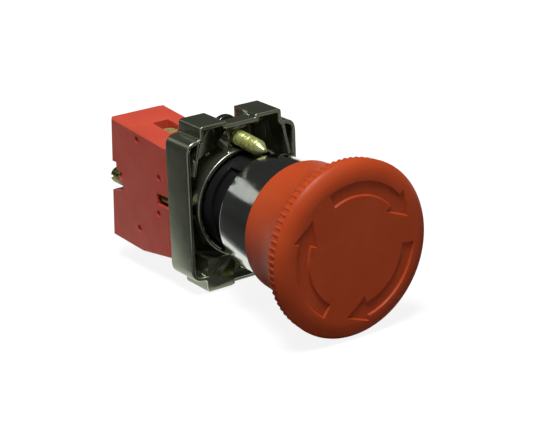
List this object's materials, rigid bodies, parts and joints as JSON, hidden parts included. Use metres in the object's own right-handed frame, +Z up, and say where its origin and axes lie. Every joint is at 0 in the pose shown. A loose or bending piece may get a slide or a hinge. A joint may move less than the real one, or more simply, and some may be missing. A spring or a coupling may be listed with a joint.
{
  "type": "emergency stop push button",
  "caption": "Panel-mounted emergency stop button with a flared red mushroom head, chromed bezel, clamp collar and a red contact block behind the panel.",
  "frame": {"origin": "on the push axis, at the panel seat: the rear face of the gasket under the bezel", "axes": "+Y points into the panel, along the push; the head faces -Y; +X is to the right seen from the front; +Z is up"},
  "size_m": [0.0397, 0.0755, 0.0396],
  "materials": {
    "head_red": "smooth moulded red-orange plastic",
    "block_red": "finely spark-eroded red plastic",
    "chrome": "bright chrome plating",
    "black_plastic": "black moulded plastic",
    "grey_plastic": "grey moulded plastic",
    "rubber": "soft black rubber",
    "olive_cast": "die-cast zinc with a dark olive passivated surface",
    "zinc_plated": "steel with yellow-green passivated zinc plating",
    "spring_steel": "drawn spring wire",
    "steel": "ground steel",
    "brass": "rolled brass"
  },
  "bodies": {
    "base": {"barrel": "black_plastic", "bezel": "chrome", "panel_gasket": "rubber", "stem_seal": "rubber", "spring_bush": "grey_plastic", "retaining_ring": "steel", "clamp_collar": "olive_cast", "block_housing": "block_red", "block_cover": "block_red", "fixing_screw": "zinc_plated", "fixed_contact_upper": "brass", "fixed_contact_lower": "brass", "terminal_clamp_upper": "brass", "terminal_clamp_lower": "brass", "terminal_screw_upper": "zinc_plated", "terminal_screw_lower": "zinc_plated"},
    "pusher": {"carriage": "grey_plastic", "pusher_plate": "grey_plastic", "return_spring": "spring_steel"},
    "head": {"mushroom_cap": "head_red", "cap_pin": "steel", "spindle": "black_plastic", "latch_pins": "steel", "twist_spring": "spring_steel", "spindle_clip": "steel"},
    "contact_carrier": {"block_plunger": "grey_plastic", "contact_bridge": "brass", "contact_spring": "spring_steel"},
    "clamp_screw_top": {"clamp_screw_top": "zinc_plated"},
    "clamp_screw_bottom": {"clamp_screw_bottom": "zinc_plated"}
  },
  "joints": [
    {"name": "head_push", "type": "slide", "parent": "base", "child": "pusher", "axis": [0, 1, 0], "range_m": [0, 0.0045], "stiffness_N_per_m": 3000, "springref_m": -0.005, "deforming": ["return_spring"]},
    {"name": "head_twist", "type": "hinge", "parent": "pusher", "child": "head", "pos_m": [0, 0, 0], "axis": [0, 1, 0], "range_deg": [-30, 0], "deforming": ["twist_spring"]},
    {"name": "contact_push", "type": "slide", "parent": "base", "child": "contact_carrier", "axis": [0, 1, 0], "range_m": [0, 0.0045], "deforming": ["contact_spring"]},
    {"name": "clamp_screw_top_travel", "type": "slide", "parent": "base", "child": "clamp_screw_top", "axis": [0, 0.9976, 0.0698], "range_m": [0, 0.0065]},
    {"name": "clamp_screw_bottom_travel", "type": "slide", "parent": "base", "child": "clamp_screw_bottom", "axis": [0, 0.9976, -0.0698], "range_m": [0, 0.0065]}
  ],
  "couplings": [
    {"joint": "contact_push", "follows": "head_push", "ratio": 1}
  ]
}
